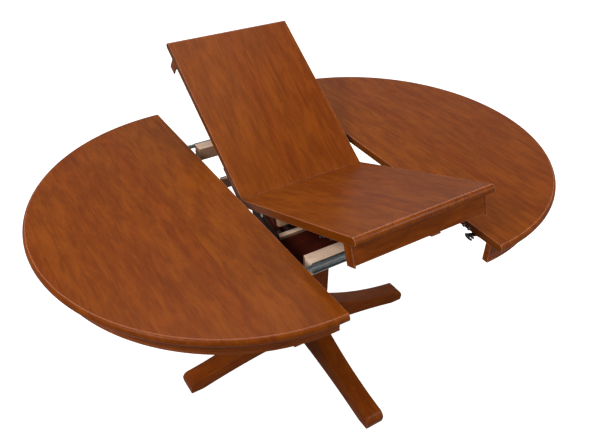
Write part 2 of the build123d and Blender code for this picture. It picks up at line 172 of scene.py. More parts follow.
def board(
    shape: Shape, low: tuple, high: tuple, grain: Grain, arris: float = 1.2, seed: float = 0
) -> None:
    """Adds a square-cut board with softened arrises.

    Rounded sections are carried along the grain; near each end the section shrinks by
    arris * (1 - sin(angle)) while it moves arris * (1 - cos(angle)), a quarter circle.

    Args:
        shape: the mesh being made.
        low: lowest corner, in metres.
        high: highest corner.
        grain: axis of the grain.
        arris: radius of every edge, in millimetres.
        seed: moves the figure to another part of the tree.
    """
    radius = arris * MM
    low, high = np.array(low, float), np.array(high, float)
    size, middle = high - low, (high + low) / 2
    along = grain.value
    u, v = (along + 1) % 3, (along + 2) % 3
    angles = np.radians([0, 30, 60, 90])
    inward = radius * (1 - np.sin(angles))
    travel = radius * (1 - np.cos(angles))
    inward = np.concatenate([inward, inward[::-1]])
    place = np.concatenate([low[along] + travel, high[along] - travel[::-1]])
    sections = np.stack([rounded_section(size[u] - 2 * i, size[v] - 2 * i, radius) for i in inward])
    rings = np.zeros(sections.shape[:2] + (3,))
    rings[..., along] = place[:, None]
    rings[..., u] = sections[..., 0] + middle[u]
    rings[..., v] = sections[..., 1] + middle[v]
    wide, deep = (u, v) if size[u] >= size[v] else (v, u)
    timber = np.stack([rings[..., wide], rings[..., along] + 3.1 * seed, rings[..., deep] + 0.7 * seed], -1)
    shape.loft(rings, timber)


def anticlockwise(outline: np.ndarray) -> np.ndarray:
    """The outline, turned round if its signed area, the sum of (x1 * y2 - x2 * y1) / 2, is negative."""
    after = np.roll(outline, -1, 0)
    area = np.sum(outline[:, 0] * after[:, 1] - after[:, 0] * outline[:, 1])
    return outline if area > 0 else outline[::-1]


def eased(outline: np.ndarray, radius: float, steps: int = 4) -> np.ndarray:
    """Rounds every corner p with the curve (1 - t)^2 a + 2 t (1 - t) p + t^2 b.

    Points a and b lie a radius before and after p, or under half way along a short side.

    Args:
        outline: corners, shaped (corners, 2).
        radius: how far from its corner each curve starts, in metres.
        steps: points on each curve.

    Returns:
        Points shaped (corners * steps, 2).
    """
    before, after = np.roll(outline, 1, 0) - outline, np.roll(outline, -1, 0) - outline
    reach = [np.minimum(radius, 0.45 * np.linalg.norm(v, axis=1, keepdims=True)) for v in (before, after)]
    sides = zip(reach, (before, after))
    a, b = (outline + r * v / np.linalg.norm(v, axis=1, keepdims=True) for r, v in sides)
    t = np.linspace(0, 1, steps)[None, :, None]
    curve = (1 - t) ** 2 * a[:, None] + 2 * t * (1 - t) * outline[:, None] + t**2 * b[:, None]
    return curve.reshape(-1, 2)


def inset(outline: np.ndarray, distance: float) -> np.ndarray:
    """Moves an anticlockwise outline inwards.

    Each point moves by distance * (n1 + n2) / (1 + n1 . n2), n1 and n2 being the inward
    normals of its two sides.

    Args:
        outline: the corners.
        distance: in metres.

    Returns:
        The moved corners.
    """
    def normals(step: np.ndarray) -> np.ndarray:
        """Inward normals of the sides."""
        unit = step / np.maximum(np.linalg.norm(step, axis=1, keepdims=True), 1e-9)
        return np.stack([-unit[:, 1], unit[:, 0]], -1)

    n1 = normals(outline - np.roll(outline, 1, 0))
    n2 = normals(np.roll(outline, -1, 0) - outline)
    share = 1 + np.sum(n1 * n2, axis=1, keepdims=True)
    return outline + distance * (n1 + n2) / np.maximum(share, 0.4)


def prism(shape: Shape, outline: np.ndarray, start: float, end: float, arris: float, seed: float = 0) -> None:
    """Adds a bar along X whose section is an outline in (y, z), its end arrises rounded.

    Near each end the section is inset by arris * (1 - sin(angle)) at a distance of
    arris * (1 - cos(angle)) from the end. The timber runs along Y.

    Args:
        shape: the mesh being made.
        outline: corners of the section, in metres.
        start: X of one end.
        end: X of the other, past start.
        arris: radius of the end arrises, in millimetres.
        seed: moves the figure to another part of the tree.
    """
    outline = anticlockwise(outline)
    angle = np.radians([0, 30, 60, 90])
    inward = arris * MM * (1 - np.sin(angle))
    travel = arris * MM * (1 - np.cos(angle))
    inward = np.concatenate([inward, inward[::-1]])
    x = np.concatenate([start + travel, end - travel[::-1]])
    sections = np.stack([inset(outline, i) for i in inward])
    rings = np.concatenate([np.broadcast_to(x[:, None, None], sections.shape[:2] + (1,)), sections], -1)
    first = shape.count
    shape.loft(rings, rings + np.array([0, seed * 2.3, seed]), capped=False)
    shape.cap(sections[0], first, forward=False)
    shape.cap(sections[-1], shape.count - sections.shape[1], forward=True)


def thumbnail_profile(thick: float) -> tuple[np.ndarray, np.ndarray]:
    """Setback from the edge and height above the underside, from bottom to top.

    Below, a quarter ellipse rises to the nose; above, another runs back to a small step
    that stands at the flat of the top.

    Args:
        thick: of the board, in metres.

    Returns:
        (setback, height) in metres.
    """
    nose, step, drop = 10 * MM, 8.5 * MM, 1.6 * MM
    low = np.radians(np.linspace(0, 90, 9))
    high = np.radians(np.linspace(8, 84, 11))
    setback = [12 * MM * (1 - np.sin(low)), (step - 0.6 * MM) * (1 - np.cos(high))]
    height = [nose * (1 - np.cos(low)), nose + (thick - drop - nose) * np.sin(high)]
    step_setback = [step - 0.1 * MM, step, step + 0.25 * MM, step + 0.8 * MM]
    step_height = [thick - drop + 0.1 * MM, thick - drop * 0.6, thick - 0.25 * MM, thick]
    return np.concatenate(setback + [step_setback]), np.concatenate(height + [step_height])


# ---------------------------------------------------------------- shader graphs


@dataclass
class Graph:
    """Short hand for wiring a node tree."""

    tree: bpy.types.NodeTree

    def add(self, kind: str, **settings: object) -> bpy.types.Node:
        """Adds a node and sets its properties."""
        node = self.tree.nodes.new(kind)
        for key, value in settings.items():
            setattr(node, key, value)
        return node

    def feed(self, socket: bpy.types.NodeSocket, value: object) -> None:
        """Links an output into a socket, or sets a constant."""
        if isinstance(value, bpy.types.NodeSocket):
            self.tree.links.new(value, socket)
        elif value is not None:
            socket.default_value = value

    def math(self, operation: str, *values: object, clamp: bool = False) -> bpy.types.NodeSocket:
        """A Math node's result."""
        node = self.add("ShaderNodeMath", operation=operation, use_clamp=clamp)
        for socket, value in zip(node.inputs, values):
            self.feed(socket, value)
        return node.outputs[0]

    def scaled(self, vector: object, factors: tuple, offset: object = None) -> bpy.types.NodeSocket:
        """A vector times factors, plus an offset."""
        node = self.add("ShaderNodeVectorMath", operation="MULTIPLY_ADD")
        self.feed(node.inputs[0], vector)
        node.inputs[1].default_value = factors
        self.feed(node.inputs[2], offset)
        return node.outputs[0]

    def noise(
        self, vector: object, scale: float, detail: float = 2, rough: float = 0.5, warp: float = 0
    ) -> bpy.types.NodeSocket:
        """A noise value about 0.5."""
        node = self.add("ShaderNodeTexNoise")
        self.feed(node.inputs["Vector"], vector)
        for key, value in (("Scale", scale), ("Detail", detail), ("Roughness", rough), ("Distortion", warp)):
            node.inputs[key].default_value = value
        return node.outputs[0]

    def spread(
        self, value: object, low: float, high: float, to_low: float = 0, to_high: float = 1
    ) -> bpy.types.NodeSocket:
        """Moves a range onto another, smoothly, and holds it there."""
        node = self.add("ShaderNodeMapRange", interpolation_type="SMOOTHSTEP")
        for socket, number in zip(node.inputs, (value, low, high, to_low, to_high)):
            self.feed(socket, number)
        return node.outputs[0]

    def blend(self, factor: object, a: object, b: object, mode: str = "MIX") -> bpy.types.NodeSocket:
        """Mixes two colours."""
        node = self.add("ShaderNodeMix", data_type="RGBA", blend_type=mode)
        for index, value in ((0, factor), (6, a), (7, b)):
            self.feed(node.inputs[index], value)
        return node.outputs[2]


def new_group(name: str, inputs: tuple, outputs: tuple) -> tuple[Graph, dict, bpy.types.Node]:
    """Starts a shader node group.

    Args:
        name: the group's name.
        inputs: (name, kind, value) of each input.
        outputs: (name, kind) of each output.

    Returns:
        Its graph, its inputs by name, and its output node.
    """
    tree = bpy.data.node_groups.new(name, "ShaderNodeTree")
    for label, kind, value in inputs:
        socket = tree.interface.new_socket(name=label, in_out="INPUT", socket_type="NodeSocket" + kind)
        socket.default_value = value
    for label, kind in outputs:
        tree.interface.new_socket(name=label, in_out="OUTPUT", socket_type="NodeSocket" + kind)
    graph = Graph(tree)
    start = graph.add("NodeGroupInput")
    end = graph.add("NodeGroupOutput")
    return graph, {s.name: s for s in start.outputs}, end


def timber_group() -> bpy.types.NodeTree:
    """Stained timber: glued staves, growth figure, soft blotches and short dark flecks.

    The figure is sin(rings * (across + a slow noise)), so its lines wander and close into
    long arches; every stave starts at its own place along the log.
    """
    graph, given, end = new_group(
        "timber",
        (
            ("Timber", "Vector", (0, 0, 0)),
            ("Stave", "Float", 0.08),
            ("Light", "Color", (0.4, 0.15, 0.05, 1)),
            ("Mid", "Color", (0.3, 0.1, 0.03, 1)),
            ("Dark", "Color", (0.1, 0.03, 0.01, 1)),
            ("Figure", "Float", 0.5),
            ("Stave tone", "Float", 0.15),
        ),
        (("Color", "Color"), ("Roughness", "Float"), ("Height", "Float")),
    )
    split = graph.add("ShaderNodeSeparateXYZ")
    graph.feed(split.inputs[0], given["Timber"])
    across = split.outputs[0]
    stave = graph.math("DIVIDE", across, given["Stave"])
    index = graph.math("FLOOR", stave)
    seed = graph.add("ShaderNodeTexWhiteNoise", noise_dimensions="1D")
    graph.feed(seed.inputs["W"], graph.math("ADD", index, 0.37))
    tone = seed.outputs["Value"]
    start = graph.add("ShaderNodeCombineXYZ")
    graph.feed(start.inputs[1], graph.math("MULTIPLY_ADD", tone, 9.0, 0.0))
    graph.feed(start.inputs[2], graph.math("MULTIPLY", tone, 4.0))
    moved = graph.scaled(given["Timber"], (1, 1, 1), start.outputs[0])
    slow = graph.noise(graph.scaled(moved, (9, 1.6, 9)), 1.0, 2, 0.45)
    wander = graph.math("MULTIPLY_ADD", slow, 0.16, across)
    rings = graph.math("SINE", graph.math("MULTIPLY", wander, 330))
    fine = graph.noise(graph.scaled(moved, (150, 5, 150)), 1.0, 4, 0.65, 0.3)
    broad = graph.noise(graph.scaled(moved, (60, 12, 60)), 1.0, 4, 0.65, 0.5)
    blotch = graph.noise(graph.scaled(moved, (40, 9, 40)), 1.0, 5, 0.68, 0.4)
    fleck = graph.noise(graph.scaled(moved, (230, 48, 230)), 1.0, 2, 0.5)
    figure = graph.math("MULTIPLY", graph.math("MULTIPLY_ADD", rings, 0.5, 0.5), given["Figure"])
    dark = graph.math("MULTIPLY_ADD", figure, 0.14, graph.spread(broad, 0.46, 0.76, 0, 0.3))
    dark = graph.math("ADD", dark, graph.spread(fine, 0.35, 0.75, -0.08, 0.16), clamp=True)
    colour = graph.blend(graph.spread(blotch, 0.36, 0.66), given["Mid"], given["Light"])
    colour = graph.blend(dark, colour, given["Dark"])
    mark = graph.spread(fleck, 0.66, 0.74)
    colour = graph.blend(graph.math("MULTIPLY", mark, 0.4), colour, given["Dark"])
    shade = graph.math("MULTIPLY_ADD", graph.math("SUBTRACT", tone, 0.5), given["Stave tone"], 1.0)
    joint = graph.math("ABSOLUTE", graph.math("SUBTRACT", graph.math("FRACT", stave), 0.5))
    line = graph.spread(joint, 0.488, 0.499, 0, 0.07)
    shade = graph.math("SUBTRACT", shade, line)
    bright = graph.add("ShaderNodeHueSaturation")
    graph.feed(bright.inputs["Value"], shade)
    graph.feed(bright.inputs["Color"], colour)
    graph.feed(bright.inputs["Hue"], graph.math("MULTIPLY_ADD", tone, 0.004, 0.498))
    graph.feed(end.inputs["Color"], bright.outputs[0])
    dull = graph.math("MULTIPLY", mark, 0.1)
    graph.feed(end.inputs["Roughness"], graph.math("MULTIPLY_ADD", fine, 0.12, dull))
    height = graph.math("SUBTRACT", graph.math("MULTIPLY", fine, 0.35), mark)
    graph.feed(end.inputs["Height"], height)
    return graph.tree


def handling_group() -> bpy.types.NodeTree:
    """Faint smears and dust of handling, as a mask from 0 to 1 on object coordinates."""
    graph, given, end = new_group("handling", (("Scale", "Float", 1.0),), (("Mask", "Float"),))
    where = graph.add("ShaderNodeTexCoord").outputs["Object"]
    grown = graph.add("ShaderNodeVectorMath", operation="SCALE")
    graph.feed(grown.inputs[0], where)
    graph.feed(grown.inputs["Scale"], given["Scale"])
    broad = graph.noise(grown.outputs[0], 3.0, 4, 0.55, 0.8)
    fine = graph.noise(grown.outputs[0], 42.0, 3, 0.6)
    graph.feed(end.inputs["Mask"], graph.spread(graph.math("MULTIPLY_ADD", fine, 0.35, broad), 0.5, 0.9))
    return graph.tree


def edge_highlight_group() -> bpy.types.NodeTree:
    """Painted highlight along open edges, as a mask from 0 to 1.

    The mask rises as the normal averaged over a small radius leaves the face's own normal,
    that is, as the product of the two falls below one. Edges with something close by, such
    as two leaves that meet, stay as they are.
    """
    graph, given, end = new_group("arris", (("Radius", "Float", 0.002),), (("Mask", "Float"),))
    averaged = graph.add("ShaderNodeBevel", samples=4)
    graph.feed(averaged.inputs["Radius"], given["Radius"])
    product = graph.add("ShaderNodeVectorMath", operation="DOT_PRODUCT")
    graph.feed(product.inputs[0], averaged.outputs[0])
    graph.feed(product.inputs[1], graph.add("ShaderNodeNewGeometry").outputs["True Normal"])
    room = graph.add("ShaderNodeAmbientOcclusion", samples=6)
    room.inputs["Distance"].default_value = 0.03
    open_edge = graph.spread(room.outputs["AO"], 0.6, 0.85)
    painted_highlight = graph.spread(product.outputs["Value"], 0.85, 0.995, 1, 0)
    graph.feed(end.inputs["Mask"], graph.math("MULTIPLY", painted_highlight, open_edge))
    return graph.tree


def rolled_steel_group() -> bpy.types.NodeTree:
    """Cold-rolled steel: fine lines along X, mottled plating; a tone and a height."""
    outputs = (("Tone", "Float"), ("Height", "Float"))
    graph, given, end = new_group("rolled_steel", (("Lines", "Float", 1.0),), outputs)
    where = graph.add("ShaderNodeTexCoord").outputs["Object"]
    lines = graph.noise(graph.scaled(where, (5, 900, 900)), 1.0, 2, 0.5)
    mottle = graph.noise(where, 60.0, 4, 0.6, 0.4)
    value = graph.math("ADD", graph.math("MULTIPLY", lines, given["Lines"]), mottle)
    graph.feed(end.inputs["Tone"], graph.spread(value, 0.6, 1.4))
    graph.feed(end.inputs["Height"], lines)
    return graph.tree


def principled(name: str) -> tuple[bpy.types.Material, Graph, bpy.types.Node]:
    """A new material with its graph and its Principled shader."""
    material = bpy.data.materials.new(name)
    material.use_nodes = True
    graph = Graph(material.node_tree)
    return material, graph, material.node_tree.nodes["Principled BSDF"]


def bump(
    graph: Graph, shader: bpy.types.Node, height: bpy.types.NodeSocket, distance: float, strength: float
) -> None:
    """Feeds a height into the shader's normal.

    Args:
        graph: the material's graph.
        shader: its Principled shader.
        height: the relief, above or below nought.
        distance: what a height of one stands for, in metres.
        strength: how much of it is felt.
    """
    node = graph.add("ShaderNodeBump")
    node.inputs["Distance"].default_value = distance
    node.inputs["Strength"].default_value = strength
    graph.feed(node.inputs["Height"], height)
    graph.feed(shader.inputs["Normal"], node.outputs[0])


@dataclass(frozen=True)
class TimberFinish:
    """A stained or bare timber."""

    name: str
    light: tuple
    mid: tuple
    dark: tuple
    stave: float = 0.062
    figure: float = 0.5
    tone: float = 0.16
    rough: float = 0.22
    shine: float = 0.1
    relief: float = 0.2
    # painted highlight: the colour mixed over open edges, and how much of it
    painted_highlight: tuple = (0.62, 0.28, 0.18)
    highlight_share: float = 0.7
    # painted shade: colour multiplied into upright faces behind the foremost runner
    inward: tuple = ()

    def make(
        self, timber: bpy.types.NodeTree, handling: bpy.types.NodeTree, arris: bpy.types.NodeTree
    ) -> bpy.types.Material:
        """Builds the material."""
        material, graph, shader = principled(self.name)
        wood = graph.add("ShaderNodeGroup", node_tree=timber)
        source = graph.add("ShaderNodeAttribute", attribute_name="timber")
        graph.feed(wood.inputs["Timber"], source.outputs["Vector"])
        for key, value in (("Stave", self.stave), ("Figure", self.figure), ("Stave tone", self.tone)):
            wood.inputs[key].default_value = value
        for key, value in (("Light", self.light), ("Mid", self.mid), ("Dark", self.dark)):
            wood.inputs[key].default_value = (*value, 1)
        smear = graph.add("ShaderNodeGroup", node_tree=handling)
        mask = smear.outputs[0]
        smeared = graph.math("MULTIPLY_ADD", mask, 0.1, self.rough)
        rough = graph.math("ADD", smeared, wood.outputs["Roughness"])
        # painted highlight on open edges, mixed over the base colour
        edge = graph.add("ShaderNodeGroup", node_tree=arris)
        share = graph.math("MULTIPLY", edge.outputs[0], self.highlight_share)
        colour = wood.outputs["Color"]
        # painted shade on upright faces behind the foremost runner
        if self.inward:
            colour = graph.blend(self.painted_shade_mask(graph), colour, (*self.inward, 1), "MULTIPLY")
        graph.feed(shader.inputs["Base Color"], graph.blend(share, colour, (*self.painted_highlight, 1)))
        graph.feed(shader.inputs["Roughness"], rough)
        shader.inputs["Specular IOR Level"].default_value = self.shine
        bump(graph, shader, wood.outputs["Height"], 0.0004, self.relief)
        return material

    @staticmethod
    def painted_shade_mask(graph: Graph) -> bpy.types.NodeSocket:
        """Painted shade: one on upright faces behind the middle of the foremost runner, on object coordinates.

        Args:
            graph: the material's graph.

        Returns:
            The mask.
        """
        inside_runner, nearer_its_back = -0.340, -0.335
        given = graph.add("ShaderNodeTexCoord")
        normal, place = graph.add("ShaderNodeSeparateXYZ"), graph.add("ShaderNodeSeparateXYZ")
        graph.feed(normal.inputs[0], given.outputs["Normal"])
        graph.feed(place.inputs[0], given.outputs["Object"])
        upright = graph.spread(graph.math("ABSOLUTE", normal.outputs[2]), 0.4, 0.8, 1, 0)
        return graph.math("MULTIPLY", upright, graph.spread(place.outputs[1], inside_runner, nearer_its_back))


@dataclass(frozen=True)
class SteelFinish:
    """A plated, lacquered or bare metal."""

    name: str
    bright: tuple
    dull: tuple
    rough: float = 0.35
    metallic: float = 1.0
    lines: float = 1.0
    shine: float = 0.5

    def make(self, steel: bpy.types.NodeTree, handling: bpy.types.NodeTree) -> bpy.types.Material:
        """Builds the material."""
        material, graph, shader = principled(self.name)
        rolled = graph.add("ShaderNodeGroup", node_tree=steel)
        rolled.inputs["Lines"].default_value = self.lines
        grime = graph.add("ShaderNodeGroup", node_tree=handling)
        grime.inputs["Scale"].default_value = 6.0
        colour = graph.blend(rolled.outputs["Tone"], (*self.dull, 1), (*self.bright, 1))
        graph.feed(shader.inputs["Base Color"], colour)
        graph.feed(shader.inputs["Roughness"], graph.math("MULTIPLY_ADD", grime.outputs[0], 0.2, self.rough))
        shader.inputs["Metallic"].default_value = self.metallic
        shader.inputs["Specular IOR Level"].default_value = self.shine
        bump(graph, shader, rolled.outputs["Height"], 0.00005, 0.4)
        return material


@dataclass(frozen=True)
class PlasticFinish:
    """Moulded plastic with a fine spark-eroded texture."""

    name: str
    colour: tuple
    rough: float = 0.5

    def make(self, handling: bpy.types.NodeTree) -> bpy.types.Material:
        """Builds the material."""
        material, graph, shader = principled(self.name)
        where = graph.add("ShaderNodeTexCoord").outputs["Object"]
        speckle = graph.noise(where, 2600.0, 2, 0.6)
        grime = graph.add("ShaderNodeGroup", node_tree=handling)
        grime.inputs["Scale"].default_value = 9.0
        lifted = tuple(min(1, c * 1.6 + 0.02) for c in self.colour)
        colour = graph.blend(grime.outputs[0], (*self.colour, 1), (*lifted, 1))
        graph.feed(shader.inputs["Base Color"], colour)
        graph.feed(shader.inputs["Roughness"], graph.math("MULTIPLY_ADD", speckle, 0.15, self.rough))
        bump(graph, shader, speckle, 0.00008, 0.5)
        return material


@dataclass
class Finishes:
    """All the materials, by the record's slot names."""

    made: dict = field(default_factory=dict)

    def build(self) -> None:
        """Builds the shared groups once, and every material from them."""
        timber, handling = timber_group(), handling_group()
        steel, arris = rolled_steel_group(), edge_highlight_group()
        timbers = (
            TimberFinish(
                "top_wood", (0.148, 0.032, 0.0015), (0.108, 0.0212, 0.001), (0.046, 0.0085, 0.001),
                tone=0.08, shine=0.06,
            ),
            TimberFinish(
                "stained_wood", (0.165, 0.034, 0.003), (0.12, 0.023, 0.002), (0.05, 0.008, 0.001),
                stave=0.3, tone=0.05, shine=0.06,
            ),
            TimberFinish(
                "frame_wood", (0.05, 0.006, 0.003), (0.032, 0.004, 0.002), (0.012, 0.002, 0.001),
                stave=0.4, tone=0.04, rough=0.45, highlight_share=0.05,
            ),
            TimberFinish(
                "bare_wood", (0.64, 0.46, 0.34), (0.54, 0.37, 0.27), (0.34, 0.22, 0.15),
                # inward: painted shade on upright faces behind the foremost runner
                stave=0.5, tone=0.05, rough=0.6, figure=0.3, highlight_share=0, inward=(0.42, 0.33, 0.27),
            ),
        )
        for finish in timbers:
            self.made[finish.name] = finish.make(timber, handling, arris)
        steels = (
            SteelFinish("slide_steel", (0.36, 0.39, 0.40), (0.17, 0.19, 0.20), 0.36),
            SteelFinish("zinc_steel", (0.42, 0.42, 0.40), (0.28, 0.28, 0.26), 0.34),
            SteelFinish("dark_steel", (0.04, 0.012, 0.007), (0.022, 0.007, 0.004), 0.6, 0.0, shine=0.05),
            SteelFinish("black_steel", (0.035, 0.03, 0.03), (0.018, 0.016, 0.016), 0.35, 0.3),
            SteelFinish("pin_steel", (0.04, 0.034, 0.034), (0.02, 0.018, 0.018), 0.4, 0.4),
            SteelFinish("hinge_brass", (0.62, 0.44, 0.17), (0.42, 0.28, 0.10), 0.28),
        )
        for finish in steels:
            self.made[finish.name] = finish.make(steel, handling)
        glide = PlasticFinish("glide_plastic", (0.03, 0.026, 0.024))
        self.made[glide.name] = glide.make(handling)

    def dress(self, piece: bpy.types.Object, slot: str) -> None:
        """Gives a piece one material."""
        piece.data.materials.clear()
        piece.data.materials.append(self.made[slot])


# ---------------------------------------------------------------- the table


def node_slot(node: str) -> str:
    """The record's material slot of a CAD node."""
    return next(s["material_slot"] for s in frame["record"]["subparts"] if s["node"] == node)


def node_body(node: str) -> str:
    """The CAD body a node belongs to."""
    bodies = frame["record"]["behaviour"]["bodies"]
    return next(body for body, nodes in bodies.items() if node in nodes)


def joint(name: str) -> dict:
    """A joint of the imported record."""
    return next(j for j in frame["joints"] if j["name"] == name)


def pin_sockets(face: float, placed: Matrix = Matrix.Identity(4)) -> Shape:
    """Plugs for the four sockets in a face across X: circles carried 20 mm into the board.

    Args:
        face: X of the bored face, the board lying below it.
        placed: where the drawn sockets lie at rest.

    Returns:
        The plugs, whose points are already placed.
    """
    turn = np.linspace(0, 2 * math.pi, 24, endpoint=False)
    circle = SOCKET_RADIUS * np.stack([np.cos(turn), np.sin(turn)], -1)
    matrix = np.array(placed)
    shape = Shape()
    for y in (-0.482, -0.462, 0.462, 0.482):
        rings = np.stack([
            np.column_stack([np.full(len(turn), x), circle + np.array([y, SOCKET_LEVEL])])
            for x in (face - SOCKET_DEPTH, face + 0.002)
        ])
        rings = rings @ matrix[:3, :3].T + matrix[:3, 3]
        shape.loft(rings, rings)
    return shape


def points_and_one(mesh: bpy.types.Mesh) -> np.ndarray:
    """Every point of a mesh followed by a one, so that a matrix can carry an offset too."""
    flat = np.empty(len(mesh.vertices) * 3, np.float32)
    mesh.vertices.foreach_get("co", flat)
    return np.column_stack([flat.reshape(-1, 3), np.ones(len(mesh.vertices))])


@dataclass
class Workshop:
    """Finishes a shape as the looks of one CAD node."""

    finishes: Finishes

    def fit(self, piece: bpy.types.Object, node: str) -> bpy.types.Object:
        """Puts a new piece in a node's place: its finish, its body, its slot.

        Args:
            piece: the new piece.
            node: the CAD node it stands for.

        Returns:
            The same piece.
        """
        slot = node_slot(node)
        self.finishes.dress(piece, slot)
        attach(piece, node_body(node))
        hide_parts(node)
        LOG.info("%s: %d faces", piece.name, len(piece.data.polygons))
        return piece

    def drill(self, piece: bpy.types.Object, holes: Shape) -> bpy.types.Object:
        """Takes holes out of a new piece and keeps the result as its mesh.

        The piece's timber coordinates are its points times a matrix, plus an offset. Both are
        found by least squares before the cut and give the bored mesh its coordinates.

        Args:
            piece: the piece to be bored.
            holes: plugs that fill the holes.

        Returns:
            The same piece, bored.
        """
        timber = np.empty(len(piece.data.vertices) * 3, np.float32)
        piece.data.attributes["timber"].data.foreach_get("vector", timber)
        relation = np.linalg.lstsq(points_and_one(piece.data), timber.reshape(-1, 3), rcond=None)[0]
        plugs = holes.finish("plugs")
        cut = piece.modifiers.new("holes", "BOOLEAN")
        cut.operation = "DIFFERENCE"
        cut.solver = "EXACT"
        cut.object = plugs
        state = bpy.context.evaluated_depsgraph_get()
        bored = bpy.data.meshes.new_from_object(piece.evaluated_get(state), depsgraph=state)
        piece.modifiers.clear()
        piece.data = bored
        bored.name = piece.name
        if "timber" in bored.attributes:
            bored.attributes.remove(bored.attributes["timber"])
        attribute = bored.attributes.new("timber", "FLOAT_VECTOR", "POINT")
        attribute.data.foreach_set("vector", (points_and_one(bored) @ relation).astype(np.float32).ravel())
        bored.polygons.foreach_set("use_smooth", np.ones(len(bored.polygons), bool))
        bored.set_sharp_from_angle(angle=math.radians(24))
        bpy.data.objects.remove(plugs)
        return piece

    def soften(self, node: str, width: float = 0.35) -> None:
        """Stands an eased copy in a node's place: flat faces made whole, edges broken.

        Args:
            node: the CAD node.
            width: of the broken edges, in millimetres.
        """
        source = frame["nodes"][node]
        mesh = source.data.copy()
        mesh.transform(source.matrix_world)
        work = bmesh.new()
        work.from_mesh(mesh)
        bmesh.ops.remove_doubles(work, verts=work.verts, dist=2e-6)
        bmesh.ops.dissolve_limit(work, angle_limit=math.radians(0.5), verts=work.verts, edges=work.edges)
        work.to_mesh(mesh)
        work.free()
        if "custom_normal" in mesh.attributes:
            mesh.attributes.remove(mesh.attributes["custom_normal"])
        mesh.polygons.foreach_set("use_smooth", np.ones(len(mesh.polygons), bool))
        mesh.set_sharp_from_angle(angle=math.radians(32))
        piece = bpy.data.objects.new(node + "_eased", mesh)
        bpy.context.scene.collection.objects.link(piece)
        bevel = piece.modifiers.new("arris", "BEVEL")
        bevel.width = width * MM
        bevel.segments = 2
        bevel.limit_method = "ANGLE"
        bevel.angle_limit = math.radians(40)
        self.fit(piece, node)


@dataclass
class Pedestal:
    """Square post on four arched feet."""

    shop: Workshop
    foot_width: float = 0.068
    edge: float = 0.005
    stations: int = 40

    def foot(self, node: str, turn: float) -> None:
        """One foot, drawn along +X and turned about the post.

        Its top and sole are circular arcs seen from the side; rounded sections between them
        are carried outwards, and the toe closes in a quarter-ellipse nose.

        Args:
            node: the CAD node it stands for.
            turn: degrees about the post.
        """
        start, top_start, sole_start, reach = 0.068, 0.184, 0.057, 0.472
        toe, toe_top, nose = 0.448, 0.052, 0.026
        top_middle, sole_middle = (0.240, 0.104), (0.250, 0.037)
        heel, floor = 0.424, 0.003
        t = np.linspace(0, 1, self.stations)
        body = start + (toe - start) * t
        angle = np.radians(np.linspace(9, 90, 10))
        r = np.concatenate([body, toe + (reach - toe) * np.sin(angle)])
        crown = arc_height(body, (start, top_start), top_middle, (toe, toe_top))
        top = np.concatenate([crown, nose + (toe_top - nose) * np.cos(angle)])
        hollow = arc_height(np.minimum(r, heel), (start, sole_start), sole_middle, (heel, floor))
        sole = np.where(r < heel, hollow, floor)
        lift = np.clip((r - (reach - 0.004)) / 0.004, 0, 1)
        sole = sole + (nose - 0.0005 - sole) * lift**2
        heights = np.maximum(top - sole, 0.0008)
        sections = np.stack([rounded_section(self.foot_width, h, self.edge, 5) for h in heights])
        middle = (top + sole) / 2
        reached = np.broadcast_to(r[:, None], sections.shape[:2])
        rings = np.stack([reached, sections[..., 0], sections[..., 1] + middle[:, None]], -1)
        timber = np.stack([rings[..., 2] + 0.4 * turn, rings[..., 0] + turn, rings[..., 1]], -1)
        shape = Shape()
        shape.loft(rings, timber)
        piece = shape.finish(node + "_arched", Matrix.Rotation(math.radians(turn), 4, "Z"))
        self.shop.fit(piece, node)

    def build(self) -> None:
        """Feet, post and the small hardware under them."""
        for node, turn in (("foot_right", 0), ("foot_rear", 90), ("foot_left", 180), ("foot_front", 270)):
            self.foot(node, turn)
        shape = Shape()
        board(shape, *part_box("pedestal_post"), Grain.Z, arris=3, seed=1)
        self.shop.fit(shape.finish("square_post"), "pedestal_post")
        for node in ("floor_glides", "foot_bolts"):
            self.shop.soften(node, 0.6)


def arc_height(r: np.ndarray, a: tuple, b: tuple, c: tuple) -> np.ndarray:
    """Height at r of the circular arc through three points, the arc lying below its centre.

    The centre is where the perpendicular bisectors meet; height is centre minus
    sqrt(radius squared minus horizontal distance squared), or plus if the arc is a crown.
    """
    (ax, ay), (bx, by), (cx, cy) = a, b, c
    d = 2 * (ax * (by - cy) + bx * (cy - ay) + cx * (ay - by))
    ox = ((ax**2 + ay**2) * (by - cy) + (bx**2 + by**2) * (cy - ay) + (cx**2 + cy**2) * (ay - by)) / d
    oy = ((ax**2 + ay**2) * (cx - bx) + (bx**2 + by**2) * (ax - cx) + (cx**2 + cy**2) * (bx - ax)) / d
    radius = math.hypot(ax - ox, ay - oy)
    side = 1 if by > oy else -1
    return oy + side * np.sqrt(np.maximum(radius**2 - (r - ox) ** 2, 0))


